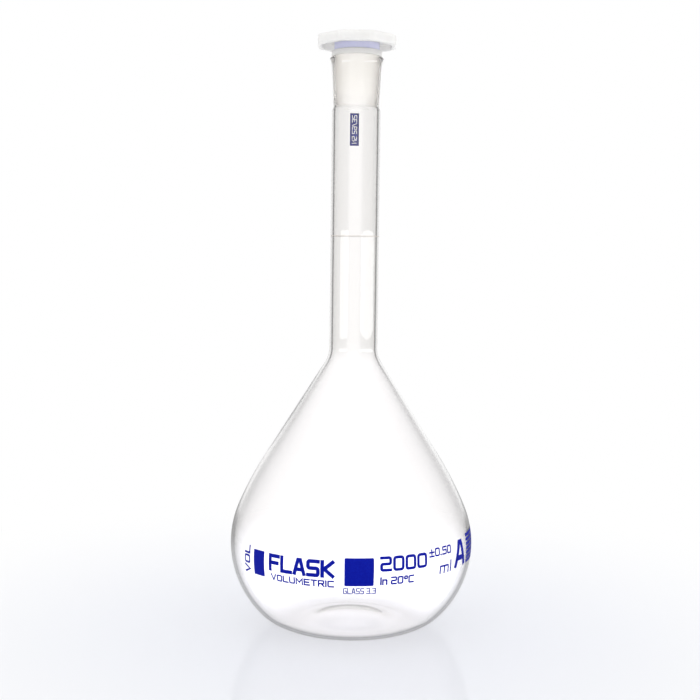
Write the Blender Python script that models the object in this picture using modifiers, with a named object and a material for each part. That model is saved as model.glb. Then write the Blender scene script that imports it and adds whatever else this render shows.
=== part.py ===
"""Volumetric flask, 2000 ml, with a polyethylene stopper in its ground socket.

Metres, +Z up. The origin is the centre of the foot, on the surface that the flask stands on, and the
flask's axis is Z. The flask is a turned shell of one wall thickness. The stopper is an octagonal head
on a turned stem, collar and plug, and a size-coding ring sits round its stem.
"""

from math import acos, cos, degrees, radians, sin, tan

import bmesh
import bpy

MM = 0.001

# Bulb: tangent arcs up its outer side, from the foot to the neck
BULB_RADIUS = 80.0 * MM
HEEL_RADIUS = 35.0 * MM          # turns the side into the foot
HEEL_ANGLE = 42.5                # degrees below the widest point where the heel takes over
LOWER_RADIUS = 65.0 * MM         # from the heel up to the widest point
UPPER_RADIUS = 62.0 * MM         # above the widest point
FLANK_ANGLE = 23.0               # degrees above the widest point where the flank takes over
FLANK_RADIUS = 235.0 * MM        # the long, nearly straight flank under the cone
CONE_ANGLE = 32.3                # half angle of the cone under the neck, in degrees
SHOULDER_RADIUS = 18.0 * MM      # hollow curve between cone and neck
WALL = 2.1 * MM

# Foot: a flat land round a pushed-up centre
FOOT_LAND = 3.0 * MM
PUNT_RISE = 5.5 * MM

# Neck with its capacity mark
NECK_RADIUS = 15.9 * MM
NECK_LENGTH = 153.5 * MM         # from the shoulder to the foot of the socket
MARK_ABOVE_SHOULDER = 73.2 * MM
MARK_WIDTH = 0.5 * MM
MARK_DEPTH = 0.2 * MM

# Ground socket 29/32 and its flared lip
SOCKET_MOUTH_RADIUS = 14.6 * MM
SOCKET_LENGTH = 32.0 * MM
SOCKET_SLOPE = 0.05              # radius lost for each unit of depth, so 1 in 10 on diameter
SOCKET_WALL = 1.9 * MM
SOCKET_BLEND = 3.2 * MM          # height in which the neck draws in to the socket
LIP_OVERHANG = 2.8 * MM          # from the mouth's radius out to the lip's
LIP_FLARE = 7.0 * MM             # height in which the socket widens to the lip
LIP_EDGE = 1.4 * MM              # rounding of the lip's outer edge
MOUTH_EDGE = 0.6 * MM            # rounding of its inner edge

# Stopper
PLUG_LENGTH = 26.5 * MM
PLUG_WALL = 2.2 * MM
PLUG_TIP = 1.0 * MM              # chamfer on the plug's lower end
BORE_DRAFT = 0.03                # radius lost for each unit of height
COLLAR_OVERHANG = 1.7 * MM       # from the mouth's radius out to the collar's
COLLAR_HEIGHT = 3.7 * MM
STEM_STEP = 2.6 * MM             # from the mouth's radius in to the stem's
HEAD_ACROSS_FLATS = 50.6 * MM
HEAD_CORNER = 3.4 * MM           # cut back along the flats from each upright corner
HEAD_PLATE = 2.8 * MM
HEAD_SKIRT = 3.9 * MM            # how far the rim hangs below the plate
HEAD_RIM_WALL = 3.0 * MM
HEAD_EDGE = 1.0 * MM             # rounding of the head's upper and lower rims

# Size-coding ring
RING_WALL = 2.55 * MM
RING_HEIGHT = 6.3 * MM
RING_EDGE = 0.3 * MM             # bevel on its outer edges

# Fits
SEAT_GAP = 0.1 * MM              # between the ground faces, and under the collar
RING_GAP = 0.1 * MM              # all round the ring's section

SEGMENTS = 48                    # flats round every turned piece
CUT_PAST = 2.0 * MM              # how far a cutter runs past the face that it opens

# Heights above the foot
WIDEST_Z = HEEL_RADIUS + (LOWER_RADIUS - HEEL_RADIUS) * sin(radians(HEEL_ANGLE))
CONE_COS, CONE_SIN = cos(radians(CONE_ANGLE)), sin(radians(CONE_ANGLE))
FLANK_CENTRE = (
    BULB_RADIUS - UPPER_RADIUS - (FLANK_RADIUS - UPPER_RADIUS) * cos(radians(FLANK_ANGLE)),
    WIDEST_Z - (FLANK_RADIUS - UPPER_RADIUS) * sin(radians(FLANK_ANGLE)),
)
CONE_FOOT_RADIUS = FLANK_CENTRE[0] + FLANK_RADIUS * CONE_COS
CONE_TOP_RADIUS = NECK_RADIUS + SHOULDER_RADIUS * (1 - CONE_COS)
CONE_HEIGHT = (CONE_FOOT_RADIUS - CONE_TOP_RADIUS) / tan(radians(CONE_ANGLE))
SHOULDER_Z = FLANK_CENTRE[1] + FLANK_RADIUS * CONE_SIN + CONE_HEIGHT + SHOULDER_RADIUS * CONE_SIN
MARK_Z = SHOULDER_Z + MARK_ABOVE_SHOULDER
NECK_TOP_Z = SHOULDER_Z + NECK_LENGTH
SOCKET_END_Z = NECK_TOP_Z + SOCKET_BLEND
RIM_Z = SOCKET_END_Z + SOCKET_LENGTH

# Radii
FOOT_RADIUS = BULB_RADIUS - LOWER_RADIUS + (LOWER_RADIUS - HEEL_RADIUS) * cos(radians(HEEL_ANGLE))
PUNT_EDGE = FOOT_RADIUS - FOOT_LAND
SOCKET_END_RADIUS = SOCKET_MOUTH_RADIUS - SOCKET_LENGTH * SOCKET_SLOPE
LIP_RADIUS = SOCKET_MOUTH_RADIUS + LIP_OVERHANG
COLLAR_RADIUS = SOCKET_MOUTH_RADIUS + COLLAR_OVERHANG
STEM_RADIUS = SOCKET_MOUTH_RADIUS - STEM_STEP
RING_INNER_RADIUS = STEM_RADIUS + RING_GAP
RING_RADIUS = RING_INNER_RADIUS + RING_WALL

# Heights above the socket's rim, where the stopper's own origin is
COLLAR_Z = SEAT_GAP
RING_Z = COLLAR_Z + COLLAR_HEIGHT + RING_GAP
PLATE_Z = RING_Z + RING_HEIGHT + RING_GAP
SKIRT_Z = PLATE_Z - HEAD_SKIRT
HEAD_TOP_Z = PLATE_Z + HEAD_PLATE


def clear_scene():
    for thing in list(bpy.data.objects):
        bpy.data.objects.remove(thing, do_unlink=True)


def new_collection(name):
    collection = bpy.data.collections.new(name)
    bpy.context.scene.collection.children.link(collection)
    return collection


def material(name, colour, roughness, transmission=0.0):
    made = bpy.data.materials.new(name)
    made.use_nodes = True
    shader = made.node_tree.nodes["Principled BSDF"]
    shader.inputs["Base Color"].default_value = (*colour, 1.0)
    shader.inputs["Roughness"].default_value = roughness
    shader.inputs["Metallic"].default_value = 0.0
    shader.inputs["Transmission Weight"].default_value = transmission
    return made


def arc(centre, radius, start, end, steps):
    """Points along an arc, both ends included. Angles are degrees up from the outward direction."""
    angles = [radians(start + (end - start) * i / steps) for i in range(steps + 1)]
    return [(centre[0] + radius * cos(a), centre[1] + radius * sin(a)) for a in angles]


def bulb_side(inset):
    """The bulb's side from shoulder to foot, moved into the glass by inset."""
    shoulder_centre = (NECK_RADIUS + SHOULDER_RADIUS, SHOULDER_Z)
    upper_centre = (BULB_RADIUS - UPPER_RADIUS, WIDEST_Z)
    lower_centre = (BULB_RADIUS - LOWER_RADIUS, WIDEST_Z)
    heel_centre = (FOOT_RADIUS, HEEL_RADIUS)
    points = arc(shoulder_centre, SHOULDER_RADIUS + inset, 180, 180 + CONE_ANGLE, 4)
    points += arc(FLANK_CENTRE, FLANK_RADIUS - inset, CONE_ANGLE, FLANK_ANGLE, 3)
    points += arc(upper_centre, UPPER_RADIUS - inset, FLANK_ANGLE, 0, 4)[1:]
    points += arc(lower_centre, LOWER_RADIUS - inset, 0, -HEEL_ANGLE, 5)[1:]
    points += arc(heel_centre, HEEL_RADIUS - inset, -HEEL_ANGLE, -90, 4)[1:]
    return points


def punt(inset):
    """The pushed-up centre of the foot, from its edge to the axis, raised into the flask by inset."""
    radius = (PUNT_EDGE**2 + PUNT_RISE**2) / (2 * PUNT_RISE)
    edge_angle = degrees(acos(PUNT_EDGE / (radius + inset)))
    dome = arc((0.0, PUNT_RISE - radius), radius + inset, edge_angle, 90, 4)
    return dome[:-1] + [(0.0, PUNT_RISE + inset)]


def lip():
    """The lip from the mouth's edge over its rounding and down the flare to the socket's wall."""
    flare_foot = SOCKET_MOUTH_RADIUS + SOCKET_WALL - LIP_FLARE * SOCKET_SLOPE
    points = [(SOCKET_MOUTH_RADIUS, RIM_Z - MOUTH_EDGE), (SOCKET_MOUTH_RADIUS + MOUTH_EDGE, RIM_Z)]
    points += arc((LIP_RADIUS - LIP_EDGE, RIM_Z - LIP_EDGE), LIP_EDGE, 90, 0, 3)
    for share in (0.8, 0.6, 0.3, 0.0):
        height = RIM_Z - LIP_FLARE + (LIP_FLARE - LIP_EDGE) * share
        points.append((flare_foot + (LIP_RADIUS - flare_foot) * share**2, height))
    return points


def flask_profile():
    """The glass in section, from the axis up the inside, over the lip and down the outside."""
    inner_neck = [(NECK_RADIUS - WALL, NECK_TOP_Z), (SOCKET_END_RADIUS, SOCKET_END_Z)]
    outer_neck = [
        (SOCKET_END_RADIUS + SOCKET_WALL, SOCKET_END_Z),
        (NECK_RADIUS, NECK_TOP_Z),
        (NECK_RADIUS, MARK_Z + MARK_WIDTH / 2),
        (NECK_RADIUS - MARK_DEPTH, MARK_Z),
        (NECK_RADIUS, MARK_Z - MARK_WIDTH / 2),
    ]
    inside = punt(WALL)[::-1] + bulb_side(WALL)[::-1] + inner_neck
    return inside + lip() + outer_neck + bulb_side(0.0) + punt(0.0)


def stopper_profile():
    """Stem, collar and hollow plug in section, from the head's plate down and back up the bore."""
    plug_top = SOCKET_MOUTH_RADIUS - SEAT_GAP
    plug_end = plug_top - PLUG_LENGTH * SOCKET_SLOPE
    bore_end = plug_end - PLUG_WALL
    bore_top = bore_end - (PLUG_LENGTH + PLATE_Z) * BORE_DRAFT
    return [
        (0.0, PLATE_Z + HEAD_PLATE / 2),
        (STEM_RADIUS, PLATE_Z + HEAD_PLATE / 2),
        (STEM_RADIUS, COLLAR_Z + COLLAR_HEIGHT),
        (COLLAR_RADIUS - PLUG_TIP / 2, COLLAR_Z + COLLAR_HEIGHT),
        (COLLAR_RADIUS, COLLAR_Z + COLLAR_HEIGHT - PLUG_TIP / 2),
        (COLLAR_RADIUS, COLLAR_Z),
        (plug_top, COLLAR_Z),
        (plug_top - (PLUG_LENGTH - PLUG_TIP) * SOCKET_SLOPE, PLUG_TIP - PLUG_LENGTH),
        (plug_end - PLUG_TIP / 2, -PLUG_LENGTH),
        (bore_end, -PLUG_LENGTH),
        (bore_top, PLATE_Z),
        (0.0, PLATE_Z),
    ]


def ring_profile():
    """The ring's section, a loop that starts at its upper inner edge and runs down the outside."""
    return [
        (RING_INNER_RADIUS, RING_Z + RING_HEIGHT),
        (RING_RADIUS - RING_EDGE, RING_Z + RING_HEIGHT),
        (RING_RADIUS, RING_Z + RING_HEIGHT - RING_EDGE),
        (RING_RADIUS, RING_Z + RING_EDGE),
        (RING_RADIUS - RING_EDGE, RING_Z),
        (RING_INNER_RADIUS, RING_Z),
    ]


def turned(name, profile, collection, is_loop=False):
    """A turned solid: a profile with a Screw modifier about Z."""
    edges = [(i, i + 1) for i in range(len(profile) - 1)]
    if is_loop:
        edges.append((len(profile) - 1, 0))
    mesh = bpy.data.meshes.new(name)
    mesh.from_pydata([(r, 0.0, z) for r, z in profile], edges, [])
    solid = bpy.data.objects.new(name, mesh)
    collection.objects.link(solid)
    screw = solid.modifiers.new("Turn", "SCREW")
    screw.axis = "Z"
    screw.steps = SEGMENTS
    screw.render_steps = SEGMENTS
    screw.use_merge_vertices = True
    screw.merge_threshold = 0.00001
    return solid


def octagon(name, across_flats, low, high, collection):
    """An upright octagonal block with rounded corners, one flat facing each way along X and Y."""
    block = bmesh.new()
    radius = across_flats / 2 / cos(radians(22.5))
    bmesh.ops.create_cone(
        block, cap_ends=True, segments=8, radius1=radius, radius2=radius, depth=high - low
    )
    uprights = [e for e in block.edges if abs(e.verts[0].co.z - e.verts[1].co.z) > (high - low) / 2]
    bmesh.ops.bevel(
        block, geom=uprights, offset=HEAD_CORNER, segments=2, profile=0.5, affect="EDGES"
    )
    mesh = bpy.data.meshes.new(name)
    block.to_mesh(mesh)
    block.free()
    made = bpy.data.objects.new(name, mesh)
    made.location.z = (low + high) / 2
    made.rotation_euler.z = radians(22.5)
    collection.objects.link(made)
    return made


def cut_or_join(solid, other, operation):
    boolean = solid.modifiers.new(other.name, "BOOLEAN")
    boolean.operation = operation
    boolean.object = other
    other.hide_render = True
    other.display_type = "WIRE"


def main():
    clear_scene()
    parts = new_collection("volumetric_flask")
    cutters = new_collection("cutters")

    glass = material("borosilicate_glass", (0.97, 0.98, 0.98), 0.0, transmission=1.0)
    polyethylene = material("natural_polyethylene", (0.86, 0.87, 0.87), 0.35)
    blue_plastic = material("pale_blue_plastic", (0.42, 0.43, 0.72), 0.4)

    flask = turned("flask_body", flask_profile(), parts)
    flask.data.materials.append(glass)

    # The stopper and its ring lift and turn together about the socket's axis.
    seat = bpy.data.objects.new("stopper_seat", None)
    seat.location.z = RIM_Z
    parts.objects.link(seat)

    stopper = octagon("stopper", HEAD_ACROSS_FLATS, SKIRT_Z, HEAD_TOP_Z, parts)
    stopper.data.materials.append(polyethylene)
    edge = stopper.modifiers.new("Rim", "BEVEL")
    edge.width = HEAD_EDGE
    edge.segments = 2
    edge.limit_method = "ANGLE"
    edge.angle_limit = radians(60)
    recess_across = HEAD_ACROSS_FLATS - 2 * HEAD_RIM_WALL
    recess = octagon("head_recess", recess_across, SKIRT_Z - CUT_PAST, PLATE_Z, cutters)
    stem = turned("stem_and_plug", stopper_profile(), cutters)
    cut_or_join(stopper, recess, "DIFFERENCE")
    cut_or_join(stopper, stem, "UNION")

    ring = turned("colour_ring", ring_profile(), parts, is_loop=True)
    ring.data.materials.append(blue_plastic)

    for piece in (stopper, recess, stem, ring):
        piece.parent = seat
    for piece in (flask, stopper, ring):
        piece.data.shade_smooth()
        piece.data.set_sharp_from_angle(angle=radians(35))


main()
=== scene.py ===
from math import atan, atan2, ceil, copysign, cos, degrees, pi, radians, sin, sqrt, tan

import bmesh
import bpy
from mathutils import Matrix, Vector


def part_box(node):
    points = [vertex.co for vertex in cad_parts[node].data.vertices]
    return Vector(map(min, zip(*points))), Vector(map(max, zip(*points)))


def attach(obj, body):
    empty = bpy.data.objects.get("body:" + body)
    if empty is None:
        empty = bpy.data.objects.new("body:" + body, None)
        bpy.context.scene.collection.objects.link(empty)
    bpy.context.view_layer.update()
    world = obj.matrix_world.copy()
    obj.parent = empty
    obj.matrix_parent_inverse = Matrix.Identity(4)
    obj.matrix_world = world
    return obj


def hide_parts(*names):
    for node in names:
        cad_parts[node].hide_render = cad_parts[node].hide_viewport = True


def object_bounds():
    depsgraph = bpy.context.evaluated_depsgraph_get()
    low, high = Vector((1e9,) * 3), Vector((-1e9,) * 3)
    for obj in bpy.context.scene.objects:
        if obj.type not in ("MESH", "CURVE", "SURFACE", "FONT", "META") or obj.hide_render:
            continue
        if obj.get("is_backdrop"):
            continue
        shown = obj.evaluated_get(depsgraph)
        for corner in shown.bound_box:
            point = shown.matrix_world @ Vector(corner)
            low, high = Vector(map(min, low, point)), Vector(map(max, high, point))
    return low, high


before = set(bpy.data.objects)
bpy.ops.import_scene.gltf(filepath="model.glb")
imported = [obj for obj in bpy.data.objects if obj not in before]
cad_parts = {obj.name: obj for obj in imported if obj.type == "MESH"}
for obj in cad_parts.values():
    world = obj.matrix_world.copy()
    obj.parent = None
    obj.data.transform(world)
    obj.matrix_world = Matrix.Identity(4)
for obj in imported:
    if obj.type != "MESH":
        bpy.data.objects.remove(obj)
cad_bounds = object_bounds()

# ---- Camera -------------------------------------------------------------------------------
# A level studio view at about the height of the capacity ring. The flask stands a shade out of
# upright in the picture, so the camera is rolled by that much.
VIEW_DISTANCE = 0.7904
VIEW_HEIGHT = 0.2402
VIEW_ASIDE = -0.0022
VIEW_DOWN = radians(4.19)
VIEW_ROLL = radians(0.69)
LENS_MM = 61.7
SENSOR_MM = 36.0

bpy.ops.object.camera_add(location=(VIEW_ASIDE, -VIEW_DISTANCE, VIEW_HEIGHT))
camera = bpy.context.object
camera.name = "studio_camera"
camera.data.lens = LENS_MM
camera.data.sensor_width = SENSOR_MM
camera.data.clip_end = 20.0
camera.rotation_euler = (
    Matrix.Rotation(radians(90) - VIEW_DOWN, 3, "X") @ Matrix.Rotation(VIEW_ROLL, 3, "Z")
).to_euler()
bpy.context.scene.camera = camera
bpy.context.scene.view_settings.view_transform = "Standard"

# ---- Floor and light ----------------------------------------------------------------------
# Polished white acrylic on a table, lit by a white room. The sheet runs out into pure white,
# so that no edge of it shows behind the glass.


def hex_colour(code):
    """An sRGB hex colour as linear red, green, blue and alpha."""
    channels = [int(code[i : i + 2], 16) / 255 for i in (1, 3, 5)]
    linear = [c / 12.92 if c <= 0.04045 else ((c + 0.055) / 1.055) ** 2.4 for c in channels]
    return (*linear, 1.0)


def add_node(tree, kind, inputs=None, **settings):
    """A node of that kind in the tree. Inputs take a value, or another node's output socket."""
    node = tree.nodes.new(kind)
    for name, value in settings.items():
        setattr(node, name, value)
    for name, value in (inputs or {}).items():
        if isinstance(value, bpy.types.NodeSocket):
            tree.links.new(value, node.inputs[name])
        else:
            node.inputs[name].default_value = value
    return node


def new_material(name):
    """A named material, its node tree and its Principled shader."""
    made = bpy.data.materials.new(name)
    made.use_nodes = True
    return made, made.node_tree, made.node_tree.nodes["Principled BSDF"]


# How white the surroundings are behind the glass, and where they light what is inside the glass
SEEN_THROUGH = 1.17
LIGHTS_THROUGH = 3.0

# Mirrored in the glass, the backdrop ends to each side, the studio beside it is dark, and so is
# the table close by. That draws the fine dark lines along the glass's edges.
MIRRORED_BACKDROP, MIRRORED_SIDES, MIRRORED_TABLE = 1.0, 0.24, 0.4
BACKDROP_ENDS, BACKDROP_WHOLE = radians(44), radians(20)


def past(tree, depth):
    """One where the ray has that kind of bounce behind it, else nothing."""
    path = add_node(tree, "ShaderNodeLightPath")
    return add_node(
        tree, "ShaderNodeMath", {0: path.outputs[depth], 1: 0.5}, operation="GREATER_THAN"
    ).outputs[0]


def seen_as(tree, straight, through, mirrored):
    """A level that differs seen straight on, seen through the glass and seen mirrored."""
    behind = add_node(
        tree,
        "ShaderNodeMix",
        {0: past(tree, "Transmission Depth"), 2: straight, 3: through},
        data_type="FLOAT",
    )
    return add_node(
        tree,
        "ShaderNodeMix",
        {0: past(tree, "Glossy Depth"), 2: behind.outputs[0], 3: mirrored},
        data_type="FLOAT",
    ).outputs[0]


def whiteness(tree, mirrored):
    """How bright white surroundings look, given how bright they are mirrored."""
    through = add_node(
        tree,
        "ShaderNodeMix",
        {0: past(tree, "Diffuse Depth"), 2: SEEN_THROUGH, 3: LIGHTS_THROUGH},
        data_type="FLOAT",
    )
    return seen_as(tree, 1.0, through.outputs[0], mirrored)


def backdrop_level(tree, heading):
    """How bright the backdrop is when it is mirrored from that heading off the flask."""
    flat = add_node(tree, "ShaderNodeVectorMath", {0: heading}, operation="NORMALIZE")
    parts = add_node(tree, "ShaderNodeSeparateXYZ", {0: flat.outputs["Vector"]})
    ahead = add_node(tree, "ShaderNodeMath", {0: parts.outputs["Y"]}, operation="ABSOLUTE")
    level = add_node(
        tree,
        "ShaderNodeMapRange",
        {
            "Value": ahead.outputs[0],
            "From Min": cos(BACKDROP_ENDS),
            "From Max": cos(BACKDROP_WHOLE),
            "To Min": MIRRORED_SIDES,
            "To Max": MIRRORED_BACKDROP,
        },
        interpolation_type="SMOOTHSTEP",
    )
    return level.outputs["Result"]


FLOOR_RADIUS = 3.0
FADE_FROM, FADE_TO = 0.04, 0.40
TABLE_FROM, TABLE_TO = 0.25, 1.5
GLOW, GLOW_THROUGH, GLOW_MIRRORED = 0.26, 0.56, 0.34

bpy.ops.object.select_all(action="DESELECT")
bpy.ops.mesh.primitive_circle_add(vertices=128, radius=FLOOR_RADIUS, fill_type="NGON")
floor = bpy.context.object
floor.name = "floor"
acrylic, tree, shader = new_material("polished_white_acrylic")
shader.inputs["Base Color"].default_value = hex_colour("#BCBFC8")
shader.inputs["Roughness"].default_value = 0.05
shader.inputs["Specular IOR Level"].default_value = 0.5
shader.inputs["Emission Color"].default_value = hex_colour("#FDFDFF")
glow = seen_as(tree, GLOW, GLOW_THROUGH, GLOW_MIRRORED)
tree.links.new(glow, shader.inputs["Emission Strength"])
place = add_node(tree, "ShaderNodeTexCoord")
distance = add_node(
    tree, "ShaderNodeVectorMath", {0: place.outputs["Object"]}, operation="LENGTH"
)
fade = add_node(
    tree,
    "ShaderNodeMapRange",
    {
        "Value": distance.outputs["Value"],
        "From Min": FADE_FROM,
        "From Max": FADE_TO,
        "To Min": 0.0,
        "To Max": 1.0,
    },
    interpolation_type="SMOOTHSTEP",
)
far = add_node(
    tree,
    "ShaderNodeMapRange",
    {"Value": distance.outputs["Value"], "From Min": TABLE_FROM, "From Max": TABLE_TO},
    interpolation_type="SMOOTHSTEP",
)
mirrored = add_node(
    tree,
    "ShaderNodeMix",
    {
        0: far.outputs["Result"],
        2: MIRRORED_TABLE,
        3: backdrop_level(tree, place.outputs["Object"]),
    },
    data_type="FLOAT",
)
white = add_node(
    tree,
    "ShaderNodeEmission",
    {"Color": (1, 1, 1, 1), "Strength": whiteness(tree, mirrored.outputs[0])},
)
mixed = add_node(
    tree,
    "ShaderNodeMixShader",
    {0: fade.outputs["Result"], 1: shader.outputs["BSDF"], 2: white.outputs["Emission"]},
)
tree.links.new(mixed.outputs["Shader"], tree.nodes["Material Output"].inputs["Surface"])
floor.data.materials.append(acrylic)
floor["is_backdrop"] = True

world = bpy.data.worlds.new("white_room")
bpy.context.scene.world = world
world.use_nodes = True
tree = world.node_tree
around = add_node(tree, "ShaderNodeTexCoord")
background = tree.nodes["Background"]
background.inputs["Color"].default_value = (1, 1, 1, 1)
tree.links.new(
    whiteness(tree, backdrop_level(tree, around.outputs["Generated"])),
    background.inputs["Strength"],
)

# Two long soft boxes stand in front, left and right, level with the lower half of the neck, and
# show as two tall windows in it
BOX_REACH, BOX_MIDDLE, BOX_TALL = 1.1, 0.205, 0.17
BOX_RADIANCE = 4.0
for name, turn, wide in (("soft_box_left", -50, 0.84), ("soft_box_right", 67, 1.6)):
    spot = (BOX_REACH * sin(radians(turn)), -BOX_REACH * cos(radians(turn)), BOX_MIDDLE)
    bpy.ops.object.light_add(type="AREA", location=spot)
    box = bpy.context.object
    box.name = name
    box.data.shape = "RECTANGLE"
    box.data.size = wide
    box.data.size_y = BOX_TALL
    box.data.energy = pi * BOX_RADIANCE * wide * BOX_TALL
    facing = Vector((0, 0, BOX_MIDDLE)) - Vector(spot)
    box.rotation_euler = facing.to_track_quat("-Z", "Y").to_euler()
    box.visible_camera = False
    box.visible_transmission = False

# ---- Flask body ---------------------------------------------------------------------------
# One piece of clear borosilicate glass: the bulb is blown in a mould, the neck is drawn tube and
# the socket is ground to a standard taper. The surface is fire-polished apart from the ground
# inside of the socket.
rim_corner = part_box("flask_body")[1]

# The enamel stands just off the glass, so the bulb is drawn that much inside its full width
PRINT_GAP, PRINT_THICK, PRINT_ROOM = 0.000005, 0.00004, 0.00006
BULB_RADIUS = rim_corner.x - PRINT_ROOM
RIM_Z = rim_corner.z
HEEL_RADIUS, HEEL_ANGLE = 0.035, 42.5
LOWER_RADIUS, UPPER_RADIUS = 0.065, 0.062
FLANK_RADIUS, FLANK_ANGLE = 0.235, 23.0
CONE_ANGLE = 32.3
SHOULDER_RADIUS = 0.018
NECK_RADIUS = 0.0159
WALL = 0.0021
FOOT_LAND = 0.003
PUNT_RISE = 0.0055
SOCKET_MOUTH, SOCKET_END = 0.0146, 0.0130
SOCKET_LENGTH, SOCKET_BLEND = 0.032, 0.0032
SOCKET_WALL = 0.0019
LIP_RADIUS, LIP_FLARE = 0.0174, 0.007
LIP_EDGE, MOUTH_EDGE = 0.0014, 0.0006
LIP_STEPS = 10
FOOT_BEND = 0.040  # rounds the land into the pushed-up base
GLASS_TURNS = 192
LINE_LEAD = 0.0003


def start_profile(name, radius, height):
    """A mesh in edit mode that holds one selected point of a section at +X."""
    bpy.ops.object.select_all(action="DESELECT")
    bpy.ops.mesh.primitive_plane_add(size=0.001, location=(radius, 0, height))
    piece = bpy.context.object
    piece.name = name
    bpy.ops.object.transform_apply(location=True)
    bpy.ops.object.mode_set(mode="EDIT")
    bpy.ops.mesh.select_all(action="SELECT")
    bpy.ops.mesh.merge(type="CENTER")
    return piece


def pen(piece):
    """Where the section's last point is."""
    mesh = bmesh.from_edit_mesh(piece.data)
    return next(v.co.copy() for v in mesh.verts if v.select)


def line_to(piece, radius, height):
    """Runs the section straight on to a point, with a short lead at each end to hold it flat."""
    run = Vector((radius, 0, height)) - pen(piece)
    lead = min(LINE_LEAD, run.length / 4)
    for length in (lead, run.length - 2 * lead, lead):
        step = run.normalized() * length
        bpy.ops.mesh.extrude_region_move(TRANSFORM_OT_translate={"value": step})


def arc_by(piece, centre, angle, steps):
    """Runs the section on round a centre by an angle in degrees, anticlockwise being positive."""
    bpy.ops.mesh.spin(
        steps=steps, angle=radians(angle), center=(centre[0], 0, centre[1]), axis=(0, 1, 0)
    )


def ogee_to(piece, radius, height, steps):
    """Runs the section on by two equal arcs that start and end upright."""
    start = pen(piece)
    over, up = radius - start.x, height - start.z
    swing = 2 * atan2(abs(over), abs(up))
    bend = copysign(abs(up) / (2 * sin(swing)), over)
    turn = -copysign(degrees(swing), over * up)
    arc_by(piece, (start.x + bend, start.z), turn, steps)
    arc_by(piece, (radius - bend, height), -turn, steps)


def finish_turning(piece, turns):
    """Spins the whole section round Z, closes it and leaves edit mode."""
    bpy.ops.mesh.select_all(action="SELECT")
    bpy.ops.mesh.spin(steps=turns, angle=2 * pi, center=(0, 0, 0), axis=(0, 0, 1))
    bpy.ops.mesh.select_all(action="SELECT")
    bpy.ops.mesh.remove_doubles(threshold=0.000001)
    bpy.ops.mesh.normals_make_consistent(inside=False)
    bpy.ops.object.mode_set(mode="OBJECT")
    bpy.ops.object.shade_smooth()


# Centres and heights of the section's arcs, from the foot up
widest_z = HEEL_RADIUS + (LOWER_RADIUS - HEEL_RADIUS) * sin(radians(HEEL_ANGLE))
foot_radius = BULB_RADIUS - LOWER_RADIUS + (LOWER_RADIUS - HEEL_RADIUS) * cos(radians(HEEL_ANGLE))
punt_edge = foot_radius - FOOT_LAND
punt_angle = degrees(2 * atan(PUNT_RISE / punt_edge))
punt_radius = punt_edge / sin(radians(punt_angle)) - FOOT_BEND
punt_centre = (0.0, PUNT_RISE - punt_radius)
bend_centre = (punt_edge, FOOT_BEND)
heel_centre = (foot_radius, HEEL_RADIUS)
lower_centre = (BULB_RADIUS - LOWER_RADIUS, widest_z)
upper_centre = (BULB_RADIUS - UPPER_RADIUS, widest_z)
flank_centre = (
    upper_centre[0] - (FLANK_RADIUS - UPPER_RADIUS) * cos(radians(FLANK_ANGLE)),
    widest_z - (FLANK_RADIUS - UPPER_RADIUS) * sin(radians(FLANK_ANGLE)),
)
cone_cos, cone_sin = cos(radians(CONE_ANGLE)), sin(radians(CONE_ANGLE))
cone_drop = (
    flank_centre[0] + FLANK_RADIUS * cone_cos - NECK_RADIUS - SHOULDER_RADIUS * (1 - cone_cos)
) / tan(radians(CONE_ANGLE))
shoulder_z = flank_centre[1] + (FLANK_RADIUS + SHOULDER_RADIUS) * cone_sin + cone_drop
shoulder_centre = (NECK_RADIUS + SHOULDER_RADIUS, shoulder_z)
socket_end_z = RIM_Z - SOCKET_LENGTH
neck_top_z = socket_end_z - SOCKET_BLEND


def shoulder_start(inset):
    """Where the cone meets the shoulder's curve, moved into the glass by inset."""
    reach = SHOULDER_RADIUS + inset
    return shoulder_centre[0] - reach * cone_cos, shoulder_centre[1] - reach * cone_sin


# Up the inside, from the middle of the base to the mouth
flask = start_profile("glass_body", 0.0, PUNT_RISE + WALL)
arc_by(flask, punt_centre, -punt_angle, 12)
arc_by(flask, bend_centre, punt_angle, 8)
line_to(flask, foot_radius, WALL)
arc_by(flask, heel_centre, 90 - HEEL_ANGLE, 14)
arc_by(flask, lower_centre, HEEL_ANGLE, 14)
arc_by(flask, upper_centre, FLANK_ANGLE, 8)
arc_by(flask, flank_centre, CONE_ANGLE - FLANK_ANGLE, 8)
line_to(flask, *shoulder_start(WALL))
arc_by(flask, shoulder_centre, -CONE_ANGLE, 10)
line_to(flask, NECK_RADIUS - WALL, neck_top_z)
ogee_to(flask, SOCKET_END, socket_end_z, 5)
line_to(flask, SOCKET_MOUTH, RIM_Z - MOUTH_EDGE)

# Over the lip
arc_by(flask, (SOCKET_MOUTH + MOUTH_EDGE, RIM_Z - MOUTH_EDGE), -90, 5)
line_to(flask, LIP_RADIUS - LIP_EDGE, RIM_Z)
arc_by(flask, (LIP_RADIUS - LIP_EDGE, RIM_Z - LIP_EDGE), -90, 8)
flare_foot = SOCKET_MOUTH + SOCKET_WALL - LIP_FLARE * (SOCKET_MOUTH - SOCKET_END) / SOCKET_LENGTH
for step in range(1, LIP_STEPS + 1):
    share = 1 - step / LIP_STEPS
    line_to(
        flask,
        flare_foot + (LIP_RADIUS - flare_foot) * share**2,
        RIM_Z - LIP_FLARE + (LIP_FLARE - LIP_EDGE) * share,
    )

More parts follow.
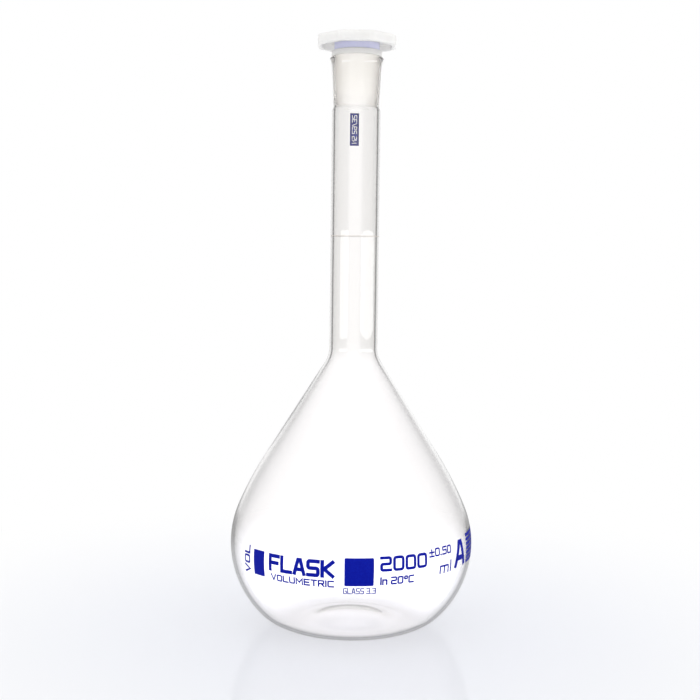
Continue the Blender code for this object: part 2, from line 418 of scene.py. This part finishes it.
# Down the outside
line_to(flask, SOCKET_END + SOCKET_WALL, socket_end_z)
ogee_to(flask, NECK_RADIUS, neck_top_z, 5)
line_to(flask, NECK_RADIUS, shoulder_z)
arc_by(flask, shoulder_centre, CONE_ANGLE, 10)
line_to(
    flask,
    flank_centre[0] + FLANK_RADIUS * cone_cos,
    flank_centre[1] + FLANK_RADIUS * cone_sin,
)
arc_by(flask, flank_centre, FLANK_ANGLE - CONE_ANGLE, 8)
arc_by(flask, upper_centre, -FLANK_ANGLE, 8)
arc_by(flask, lower_centre, -HEEL_ANGLE, 14)
arc_by(flask, heel_centre, HEEL_ANGLE - 90, 14)
line_to(flask, punt_edge, 0.0)
arc_by(flask, bend_centre, -punt_angle, 8)
arc_by(flask, punt_centre, punt_angle, 12)
finish_turning(flask, GLASS_TURNS)

# Fire-polished glass is perfectly smooth and clear. The neck carries painted shade: its glass is
# tinted a shade greyer than the bulb's, most of all where it is seen at a slant, standing in for
# the darker surroundings it shows.
BULB_CLEAR, NECK_PAINTED_SHADE = "#FFFEFE", "#F4F3F2"
SHADE_FROM, SHADE_TO = shoulder_z - 0.012, shoulder_z + 0.004
GLASS_IOR = 1.473


def slant_of(tree):
    """How far a surface turns away from the ray that meets it, from 0 to 1."""
    return add_node(tree, "ShaderNodeLayerWeight", {"Blend": 0.5}).outputs["Facing"]


glass, tree, shader = new_material("fire_polished_borosilicate_glass")
place = add_node(tree, "ShaderNodeTexCoord")
parts = add_node(tree, "ShaderNodeSeparateXYZ", {0: place.outputs["Object"]})
is_neck = add_node(
    tree,
    "ShaderNodeMapRange",
    {"Value": parts.outputs["Z"], "From Min": SHADE_FROM, "From Max": SHADE_TO},
    interpolation_type="SMOOTHSTEP",
)
is_slanted = add_node(
    tree,
    "ShaderNodeMapRange",
    {"Value": slant_of(tree), "From Max": 0.16, "To Min": 0.72},
    interpolation_type="SMOOTHSTEP",
)
neck_shade_amount = add_node(
    tree,
    "ShaderNodeMath",
    {0: is_neck.outputs["Result"], 1: is_slanted.outputs["Result"]},
    operation="MULTIPLY",
)
# Painted shade: the neck's glass is tinted grey, more where it is seen at a slant
painted_shade_tone = add_node(
    tree,
    "ShaderNodeMix",
    {0: neck_shade_amount.outputs[0], 6: hex_colour(BULB_CLEAR), 7: hex_colour(NECK_PAINTED_SHADE)},
    data_type="RGBA",
)
tree.links.new(painted_shade_tone.outputs[2], shader.inputs["Base Color"])
shader.inputs["Roughness"].default_value = 0.0
shader.inputs["IOR"].default_value = GLASS_IOR
shader.inputs["Transmission Weight"].default_value = 1.0

# Ground glass is frosted: it scatters part of the light that meets it. Its tone carries painted
# shade, darker where it turns away to the sides
ground, tree, shader = new_material("ground_glass")
side_shade = add_node(
    tree,
    "ShaderNodeMapRange",
    {"Value": slant_of(tree), "From Min": 0.02, "From Max": 0.28},
    interpolation_type="SMOOTHSTEP",
)
# Painted shade: the ground glass is tinted darker where it turns to the sides
painted_shade_tone = add_node(
    tree,
    "ShaderNodeMix",
    {0: side_shade.outputs["Result"], 6: hex_colour("#FFFEFC"), 7: hex_colour("#E8E4E0")},
    data_type="RGBA",
)
tree.links.new(painted_shade_tone.outputs[2], shader.inputs["Base Color"])
shader.inputs["Roughness"].default_value = 0.3
shader.inputs["IOR"].default_value = GLASS_IOR
shader.inputs["Transmission Weight"].default_value = 0.85

flask.data.materials.append(glass)
flask.data.materials.append(ground)
for face in flask.data.polygons:
    middle = face.center
    inward = face.normal.x * middle.x + face.normal.y * middle.y < 0
    if inward and socket_end_z < middle.z < RIM_Z - MOUTH_EDGE:
        face.material_index = 1

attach(flask, "flask")
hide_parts("flask_body")

# ---- Capacity ring ------------------------------------------------------------------------
# The line round the neck that the flask is filled to. It is etched into the glass and shows as
# a fine matt grey-brown line, front and back.
MARK_ABOVE_SHOULDER = 0.0732
MARK_WIDTH = 0.0003
mark_z = shoulder_z + MARK_ABOVE_SHOULDER

mark_in = NECK_RADIUS + PRINT_GAP
mark_out = mark_in + PRINT_THICK
mark_low, mark_high = mark_z - MARK_WIDTH / 2, mark_z + MARK_WIDTH / 2

capacity_ring = start_profile("capacity_ring", mark_in, mark_low)
line_to(capacity_ring, mark_out, mark_low)
line_to(capacity_ring, mark_out, mark_high)
line_to(capacity_ring, mark_in, mark_high)
line_to(capacity_ring, mark_in, mark_low)
finish_turning(capacity_ring, GLASS_TURNS)

etched, tree, shader = new_material("etched_line")
shader.inputs["Base Color"].default_value = hex_colour("#D8D0C8")
shader.inputs["Roughness"].default_value = 0.7
capacity_ring.data.materials.append(etched)
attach(capacity_ring, "flask")

# ---- Print on the bulb --------------------------------------------------------------------
# Cobalt blue glass enamel, screen-printed on the bulb and fired on. The letters are plain
# square-cut strokes. Each mark's place is given as the arc round the bulb and the height.
FACET = 0.0012
LETTER_GAP = 1.7

# Each letter's strokes on a grid 6 high: how far its corners are rounded, and its points
LETTERS = {
    "0": [(1.2, [(0, 0), (4, 0), (4, 6), (0, 6), (0, 0)])],
    "2": [(1.0, [(0, 6), (4, 6), (4, 3), (0, 3), (0, 0), (4, 0)])],
    "3": [(0.7, [(0, 6), (4, 6), (4, 0), (0, 0)]), (0, [(1.2, 3), (3.1, 3)])],
    "5": [(0.9, [(4, 6), (0, 6), (0, 3.4), (4, 3.4), (4, 0), (0, 0)])],
    "9": [(1.0, [(3.1, 3), (0, 3), (0, 6), (4, 6), (4, 0), (0, 0)])],
    "\u00b1": [(0, [(0, 3.4), (4, 3.4)]), (0, [(2, 5.4), (2, 1.6)]), (0, [(0, 0), (4, 0)])],
    "\u00b0": [(0.8, [(0, 3.7), (2.3, 3.7), (2.3, 6), (0, 6), (0, 3.7)])],
    ".": [(0, [(0, 0), (0.4, 0)])],
    "/": [(0, [(0, 0), (3, 6)])],
    "A": [(0, [(0, 0), (1.5, 6), (2.5, 6), (4, 0)]), (0, [(0.8, 1.8), (3.2, 1.8)])],
    "C": [(1.2, [(4, 6), (0, 6), (0, 0), (4, 0)])],
    "E": [(0, [(4, 6), (0, 6), (0, 0), (4, 0)]), (0, [(0, 3), (3.5, 3)])],
    "F": [(0, [(4, 6), (0, 6), (0, 0)]), (0, [(0, 3), (3.5, 3)])],
    "G": [(1.2, [(4, 6), (0, 6), (0, 0), (4, 0), (4, 3), (2.3, 3)])],
    "I": [(0, [(0, 0), (0, 6)])],
    "K": [(0, [(0, 0), (0, 6)]), (0, [(4, 6), (0.8, 3), (4, 0)])],
    "L": [(0, [(0, 6), (0, 0), (4, 0)])],
    "M": [(0, [(0, 0), (0, 6), (2.5, 2), (5, 6), (5, 0)])],
    "N": [(0, [(0, 0), (0, 6), (4, 0), (4, 6)])],
    "O": [(1.2, [(0, 0), (4, 0), (4, 6), (0, 6), (0, 0)])],
    "R": [
        (0, [(0, 0), (0, 6)]),
        (0.9, [(0, 6), (4, 6), (4, 2.8), (0, 2.8)]),
        (0, [(2.2, 2.8), (4, 0)]),
    ],
    "S": [(0.9, [(4, 6), (0, 6), (0, 3), (4, 3), (4, 0), (0, 0)])],
    "T": [(0, [(0, 6), (4, 6)]), (0, [(2, 6), (2, 0)])],
    "U": [(1.2, [(0, 6), (0, 0), (4, 0), (4, 6)])],
    "V": [(0, [(0, 6), (2, 0), (4, 6)])],
    "l": [(0, [(0, 0), (0, 6)])],
    "m": [(0, [(0, 0), (0, 4)]), (0.9, [(0, 4), (5, 4), (5, 0)]), (0, [(2.5, 4), (2.5, 0)])],
    "n": [(0, [(0, 0), (0, 4)]), (0.9, [(0, 4), (3.2, 4), (3.2, 0)])],
}


def softened(points, radius):
    """A stroke's points with each corner between them rounded."""
    path = [points[0]]
    for before, corner, after in zip(points, points[1:], points[2:]):
        if not radius:
            path.append(corner)
            continue
        start = corner.lerp(before, min(0.5, radius / (before - corner).length))
        end = corner.lerp(after, min(0.5, radius / (after - corner).length))
        for share in (0, 0.2, 0.4, 0.6, 0.8, 1):
            path.append(start.lerp(corner, share).lerp(corner.lerp(end, share), share))
    return path + [points[-1]]


def stroke_sides(path, weight, is_loop):
    """The points along the left and right sides of a stroke of that width."""
    left, right = [], []
    last = len(path) - 1
    for i, point in enumerate(path):
        into = (path[max(i, 1)] - path[max(i, 1) - 1]).normalized()
        out = (path[min(i, last - 1) + 1] - path[min(i, last - 1)]).normalized()
        if not is_loop and i in (0, last):
            point = point + into * weight / 2 * (1 if i else -1)
        side = Vector((-into.y - out.y, into.x + out.x)).normalized()
        reach = weight / 2 / max(0.5, side.dot(Vector((-into.y, into.x))))
        left.append(point + side * reach)
        right.append(point - side * reach)
    return left, right


def strokes_of(words, left, right, low, high, weight, climbs=False):
    """The sides of each stroke of some words that fill a box. Words that climb read upwards."""
    advance, placed = 0.0, []
    for letter in words:
        if letter == " ":
            advance += 2.4
            continue
        placed += [(advance, *stroke) for stroke in LETTERS[letter]]
        advance += max(x for _, points in LETTERS[letter] for x, _ in points) + LETTER_GAP
    run, rise = (high - low, right - left) if climbs else (right - left, high - low)
    along = (run - weight) / (advance - LETTER_GAP)
    up = (rise - weight) / 6
    for start, radius, points in placed:
        line = [
            Vector((weight / 2 + (start + x) * along, weight / 2 + y * up)) for x, y in points
        ]
        is_loop = len(points) > 2 and points[0] == points[-1]
        if is_loop:
            middle = line[0].lerp(line[1], 0.5)
            line = [middle, *line[1:], middle]
        path = softened(line, radius * min(along, up))
        if climbs:
            path = [Vector((right - p.y, low + p.x)) for p in path]
        else:
            path = [Vector((left + p.x, low + p.y)) for p in path]
        yield stroke_sides(path, weight, is_loop)


def flat_print(name, words=(), blocks=()):
    """A flat print of words and of blocks. A block is its left, right, low and high edges."""
    ink = bmesh.new()
    for line in words:
        for left, right in strokes_of(*line):
            rails = [[ink.verts.new((*p, 0)) for p in side] for side in (left, right)]
            for i in range(len(left) - 1):
                ink.faces.new((rails[0][i], rails[1][i], rails[1][i + 1], rails[0][i + 1]))
    for left, right, low, high in blocks:
        nick = min(right - left, high - low) / 30
        outline = [
            (left + nick, low), (right - nick, low), (right, low + nick), (right, high - nick),
            (right - nick, high), (left + nick, high), (left, high - nick), (left, low + nick),
        ]  # fmt: skip
        ink.faces.new([ink.verts.new((*p, 0)) for p in outline])
    mesh = bpy.data.meshes.new(name)
    ink.to_mesh(mesh)
    ink.free()
    piece = bpy.data.objects.new(name, mesh)
    bpy.context.collection.objects.link(piece)
    return piece


def lay_on_glass(piece, ink, radius_at, reach, centre=0.0):
    """Cuts a flat print into facets, wraps it on the glass and gives it the ink's thickness."""
    mesh = bmesh.new()
    mesh.from_mesh(piece.data)
    for axis in (0, 1):
        places = [v.co[axis] for v in mesh.verts]
        cut = Vector((1 - axis, axis, 0))
        for step in range(ceil(min(places) / FACET), ceil(max(places) / FACET)):
            whole = [*mesh.verts, *mesh.edges, *mesh.faces]
            bmesh.ops.bisect_plane(mesh, geom=whole, plane_co=cut * step * FACET, plane_no=cut)
    for vertex in mesh.verts:
        turn = centre + vertex.co.x / reach
        radius = radius_at(vertex.co.y) + PRINT_GAP + PRINT_THICK / 2
        vertex.co = (radius * sin(turn), -radius * cos(turn), vertex.co.y)
    mesh.to_mesh(piece.data)
    mesh.free()
    bpy.ops.object.select_all(action="DESELECT")
    piece.select_set(True)
    bpy.context.view_layer.objects.active = piece
    shell = piece.modifiers.new("ink", "SOLIDIFY")
    shell.thickness = PRINT_THICK
    shell.offset = 0
    bpy.ops.object.modifier_apply(modifier="ink")
    bpy.ops.object.shade_smooth_by_angle(angle=radians(35))
    piece.data.materials.append(ink)
    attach(piece, "flask")


def bulb_radius_at(height):
    """The radius of the bulb's outside at a height near its widest."""
    bend = UPPER_RADIUS if height > widest_z else LOWER_RADIUS
    return BULB_RADIUS - bend + sqrt(bend**2 - (height - widest_z) ** 2)


# Fired enamel is opaque and nearly matt. Its grain is drawn about 1 mm across, coarser than the
# real one, so that it shows.
enamel, tree, shader = new_material("cobalt_blue_enamel")
place = add_node(tree, "ShaderNodeTexCoord")
grain = add_node(
    tree, "ShaderNodeTexNoise", {"Vector": place.outputs["Object"], "Scale": 900.0, "Detail": 3.0}
)
tint = add_node(tree, "ShaderNodeValToRGB", {"Fac": grain.outputs["Fac"]})
tint.color_ramp.elements[0].position = 0.35
tint.color_ramp.elements[0].color = hex_colour("#000E92")
tint.color_ramp.elements[1].position = 0.70
tint.color_ramp.elements[1].color = hex_colour("#02189E")
tree.links.new(tint.outputs["Color"], shader.inputs["Base Color"])
bump = add_node(
    tree, "ShaderNodeBump", {"Height": grain.outputs["Fac"], "Distance": 0.00001, "Strength": 0.4}
)
tree.links.new(bump.outputs["Normal"], shader.inputs["Normal"])
shader.inputs["Roughness"].default_value = 0.4
shader.inputs["Specular IOR Level"].default_value = 0.08

capacity_print = flat_print(
    "capacity_print",
    words=[
        ("2000", 0.0177, 0.0500, 0.0539, 0.0632, 0.0018),
        ("\u00b10.50", 0.0518, 0.0724, 0.0593, 0.0647, 0.00105),
        ("In 20\u00b0C", 0.0179, 0.0405, 0.0455, 0.0506, 0.00106),
        ("ml", 0.0610, 0.0726, 0.0475, 0.0551, 0.0012),
        ("A", 0.0766, 0.0916, 0.0482, 0.0655, 0.0034),
    ],
)
lay_on_glass(capacity_print, enamel, bulb_radius_at, BULB_RADIUS)

colour_block = flat_print(
    "colour_block",
    words=[("GLASS 3.3", -0.0048, 0.0156, 0.0401, 0.0440, 0.00058)],
    blocks=[(-0.0040, 0.0140, 0.0452, 0.0625)],
)
lay_on_glass(colour_block, enamel, bulb_radius_at, BULB_RADIUS)

name_print = flat_print(
    "name_print",
    words=[
        ("FLASK", -0.0550, -0.0100, 0.0499, 0.0608, 0.0024),
        ("VOLUMETRIC", -0.0535, -0.0102, 0.0440, 0.0484, 0.00098),
        ("VOL", -0.0795, -0.0730, 0.0445, 0.0625, 0.0013, True),
    ],
    blocks=[(-0.0690, -0.0590, 0.0450, 0.0610)],
)
lay_on_glass(name_print, enamel, bulb_radius_at, BULB_RADIUS)

FIELD_LEFT, FIELD_RIGHT, FIELD_LOW = 0.0945, 0.1240, 0.0482
FIELD_BARS, FIELD_PITCH, FIELD_BAR = 7, 0.0028, 0.0021
bar_feet = [FIELD_LOW + FIELD_PITCH * i for i in range(FIELD_BARS)]
writing_field = flat_print(
    "writing_field",
    blocks=[(FIELD_LEFT, FIELD_RIGHT, foot, foot + FIELD_BAR) for foot in bar_feet],
)
lay_on_glass(writing_field, enamel, bulb_radius_at, BULB_RADIUS)

# ---- Joint size label on the neck ---------------------------------------------------------
# A blue enamel label at the back of the neck with the joint's size left clear in it, reading up.
# It is read from behind, so it shows mirrored through the glass.
LABEL_WIDTH, LABEL_HEIGHT = 0.0066, 0.0215
SIDE_MARGIN, END_MARGIN, LABEL_STROKE = 0.0015, 0.0014, 0.00038
LABEL_TURN = radians(184)
label_top = neck_top_z + 0.0012
label_low = label_top - LABEL_HEIGHT
SOCKET_OVER = SOCKET_END + SOCKET_WALL - NECK_RADIUS
neck_bend = SOCKET_BLEND / (2 * sin(2 * atan2(-SOCKET_OVER, SOCKET_BLEND)))


def neck_radius_at(height):
    """The radius of the neck's outside, drawn in where it runs up to the socket."""
    above = max(0.0, height - neck_top_z)
    return NECK_RADIUS - neck_bend + sqrt(neck_bend**2 - above**2)


outline = bpy.data.curves.new("size_label", "CURVE")
outline.dimensions = "2D"
outline.fill_mode = "BOTH"
half = LABEL_WIDTH / 2
loops = [[Vector((x, z)) for x, z in (
    (-half, label_low), (half, label_low), (half, label_top), (-half, label_top)
)]]  # fmt: skip
for left, right in strokes_of(
    "NS 29/32",
    SIDE_MARGIN - half,
    half - SIDE_MARGIN,
    label_low + END_MARGIN,
    label_top - END_MARGIN,
    LABEL_STROKE,
    climbs=True,
):
    loops.append(left + right[::-1])
for loop in loops:
    spline = outline.splines.new("POLY")
    spline.points.add(len(loop) - 1)
    for point, place in zip(spline.points, loop):
        point.co = (place.x, place.y, 0, 1)
    spline.use_cyclic_u = True
size_label = bpy.data.objects.new("size_label", outline)
bpy.context.collection.objects.link(size_label)
bpy.ops.object.select_all(action="DESELECT")
size_label.select_set(True)
bpy.context.view_layer.objects.active = size_label
bpy.ops.object.convert(target="MESH")
size_label = bpy.context.object
lay_on_glass(size_label, enamel, neck_radius_at, NECK_RADIUS, LABEL_TURN)

# ---- Colour ring --------------------------------------------------------------------------
# A loose size-coding ring round the stopper's stem, injection-moulded in pale blue-violet
# polyethylene. Its edges are softly rounded.
ring_low, ring_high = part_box("colour_ring")
RING_WALL = 0.00255
RING_EDGE = 0.0005
RING_TURNS = 128
ring_out = ring_high.x
ring_in = ring_out - RING_WALL

ring = start_profile("colour_ring_moulding", ring_in, ring_low.z + RING_EDGE)
arc_by(ring, (ring_in + RING_EDGE, ring_low.z + RING_EDGE), 90, 4)
line_to(ring, ring_out - RING_EDGE, ring_low.z)
arc_by(ring, (ring_out - RING_EDGE, ring_low.z + RING_EDGE), 90, 4)
line_to(ring, ring_out, ring_high.z - RING_EDGE)
arc_by(ring, (ring_out - RING_EDGE, ring_high.z - RING_EDGE), 90, 4)
line_to(ring, ring_in + RING_EDGE, ring_high.z)
arc_by(ring, (ring_in + RING_EDGE, ring_high.z - RING_EDGE), 90, 4)
line_to(ring, ring_in, ring_low.z + RING_EDGE)
finish_turning(ring, RING_TURNS)


def moulded_plastic(name, light, dark, depth, roughness):
    """Satin translucent moulded plastic that glows to that depth, with clouds about 9 mm across.

    The skin's grain is drawn 0.4 mm across, coarser than the mould leaves it, so that it shows.
    """
    made, tree, shader = new_material(name)
    place = add_node(tree, "ShaderNodeTexCoord")
    cloud = add_node(
        tree,
        "ShaderNodeTexNoise",
        {"Vector": place.outputs["Object"], "Scale": 110.0, "Detail": 4.0, "Roughness": 0.6},
    )
    tint = add_node(tree, "ShaderNodeValToRGB", {"Fac": cloud.outputs["Fac"]})
    tint.color_ramp.elements[0].position = 0.3
    tint.color_ramp.elements[0].color = hex_colour(dark)
    tint.color_ramp.elements[1].position = 0.7
    tint.color_ramp.elements[1].color = hex_colour(light)
    tree.links.new(tint.outputs["Color"], shader.inputs["Base Color"])
    skin = add_node(
        tree,
        "ShaderNodeTexNoise",
        {"Vector": place.outputs["Object"], "Scale": 2600.0, "Detail": 2.0},
    )
    bump = add_node(
        tree,
        "ShaderNodeBump",
        {"Height": skin.outputs["Fac"], "Distance": 0.00002, "Strength": 0.25},
    )
    tree.links.new(bump.outputs["Normal"], shader.inputs["Normal"])
    shader.inputs["Roughness"].default_value = roughness
    shader.inputs["IOR"].default_value = 1.5
    shader.inputs["Subsurface Weight"].default_value = 1.0
    shader.inputs["Subsurface Radius"].default_value = (1.0, 1.0, 1.0)
    shader.inputs["Subsurface Scale"].default_value = depth
    return made


ring.data.materials.append(
    moulded_plastic("pale_violet_polyethylene", "#DADBF2", "#D3D4EF", 0.0008, 0.4)
)
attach(ring, "ring")
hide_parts("colour_ring")

# ---- Stopper ------------------------------------------------------------------------------
# One moulding in natural polyethylene: an octagonal head to grip, hollow underneath, on a stem
# with a collar and a hollow taper plug that seats in the socket.
plug_low, head_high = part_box("stopper")
SEAT_GAP = 0.0001
PLUG_LENGTH, PLUG_WALL, PLUG_TIP = 0.0265, 0.0022, 0.001
BORE_DRAFT = 0.03
SOCKET_SLOPE = (SOCKET_MOUTH - SOCKET_END) / SOCKET_LENGTH
COLLAR_RADIUS, COLLAR_HEIGHT, COLLAR_EDGE = 0.0163, 0.0037, 0.0006
STEM_RADIUS, STEM_FILLET = 0.012, 0.00008
HEAD_FLATS = head_high.x * 2
HEAD_CORNER, HEAD_EDGE = 0.0034, 0.001
HEAD_PLATE, HEAD_SKIRT, HEAD_RIM_WALL = 0.0028, 0.0039, 0.003
plate_z = head_high.z - HEAD_PLATE
skirt_z = plate_z - HEAD_SKIRT
collar_low = RIM_Z + SEAT_GAP
collar_top = collar_low + COLLAR_HEIGHT
plug_top = SOCKET_MOUTH - SEAT_GAP
plug_end = plug_top - PLUG_LENGTH * SOCKET_SLOPE
bore_end = plug_end - PLUG_WALL
bore_top = bore_end - (plate_z - plug_low.z) * BORE_DRAFT

stopper = start_profile("stopper_moulding", 0.0, plate_z + HEAD_PLATE / 2)
line_to(stopper, STEM_RADIUS, plate_z + HEAD_PLATE / 2)
line_to(stopper, STEM_RADIUS, collar_top + STEM_FILLET)
arc_by(stopper, (STEM_RADIUS + STEM_FILLET, collar_top + STEM_FILLET), 90, 3)
line_to(stopper, COLLAR_RADIUS - COLLAR_EDGE, collar_top)
arc_by(stopper, (COLLAR_RADIUS - COLLAR_EDGE, collar_top - COLLAR_EDGE), -90, 5)
line_to(stopper, COLLAR_RADIUS, collar_low + COLLAR_EDGE)
arc_by(stopper, (COLLAR_RADIUS - COLLAR_EDGE, collar_low + COLLAR_EDGE), -90, 5)
line_to(stopper, plug_top, collar_low)
line_to(stopper, plug_top - (PLUG_LENGTH - PLUG_TIP) * SOCKET_SLOPE, plug_low.z + PLUG_TIP)
line_to(stopper, plug_end - PLUG_TIP / 2, plug_low.z)
line_to(stopper, bore_end, plug_low.z)
line_to(stopper, bore_top, plate_z)
line_to(stopper, 0.0, plate_z)
finish_turning(stopper, RING_TURNS)


def octagon(name, across_flats, low, high):
    """An upright octagonal block with rounded corners, its flats facing along X and Y."""
    bpy.ops.object.select_all(action="DESELECT")
    bpy.ops.mesh.primitive_cylinder_add(
        vertices=8,
        radius=across_flats / 2 / cos(radians(22.5)),
        depth=high - low,
        location=(0, 0, (low + high) / 2),
        rotation=(0, 0, radians(22.5)),
    )
    block = bpy.context.object
    block.name = name
    bpy.ops.object.transform_apply()
    bpy.ops.object.mode_set(mode="EDIT")
    bpy.ops.mesh.select_mode(type="EDGE")
    bpy.ops.mesh.select_all(action="DESELECT")
    bpy.ops.object.mode_set(mode="OBJECT")
    for edge in block.data.edges:
        ends = [block.data.vertices[i].co.z for i in edge.vertices]
        edge.select = abs(ends[0] - ends[1]) > (high - low) / 2
    bpy.ops.object.mode_set(mode="EDIT")
    bpy.ops.mesh.bevel(offset=HEAD_CORNER, segments=6, affect="EDGES")
    bpy.ops.mesh.select_mode(type="VERT")
    bpy.ops.object.mode_set(mode="OBJECT")
    return block


def carve(piece, other, operation):
    """Cuts the other solid out of the piece, or joins it on, and removes it."""
    bpy.ops.object.select_all(action="DESELECT")
    piece.select_set(True)
    bpy.context.view_layer.objects.active = piece
    step = piece.modifiers.new("carve", "BOOLEAN")
    step.operation = operation
    step.object = other
    step.solver = "EXACT"
    bpy.ops.object.modifier_apply(modifier="carve")
    bpy.data.objects.remove(other)


head = octagon("head", HEAD_FLATS, skirt_z, head_high.z)
rim = head.modifiers.new("rim", "BEVEL")
rim.width = HEAD_EDGE
rim.segments = 4
rim.limit_method = "ANGLE"
rim.angle_limit = radians(60)
bpy.ops.object.modifier_apply(modifier="rim")
recess = octagon("recess", HEAD_FLATS - 2 * HEAD_RIM_WALL, skirt_z - 0.002, plate_z)
carve(head, recess, "DIFFERENCE")
carve(stopper, head, "UNION")
bpy.ops.object.shade_smooth_by_angle(angle=radians(35))
stopper.data.materials.append(
    moulded_plastic("natural_polyethylene", "#E5E4E1", "#DDDCD9", 0.012, 0.34)
)
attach(stopper, "stopper")
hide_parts("stopper")

# ---- Ending -------------------------------------------------------------------------------
sizes = {"cad": cad_bounds, "visual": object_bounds()}
{k: [[round(c, 6) for c in corner] for corner in v] for k, v in sizes.items()}
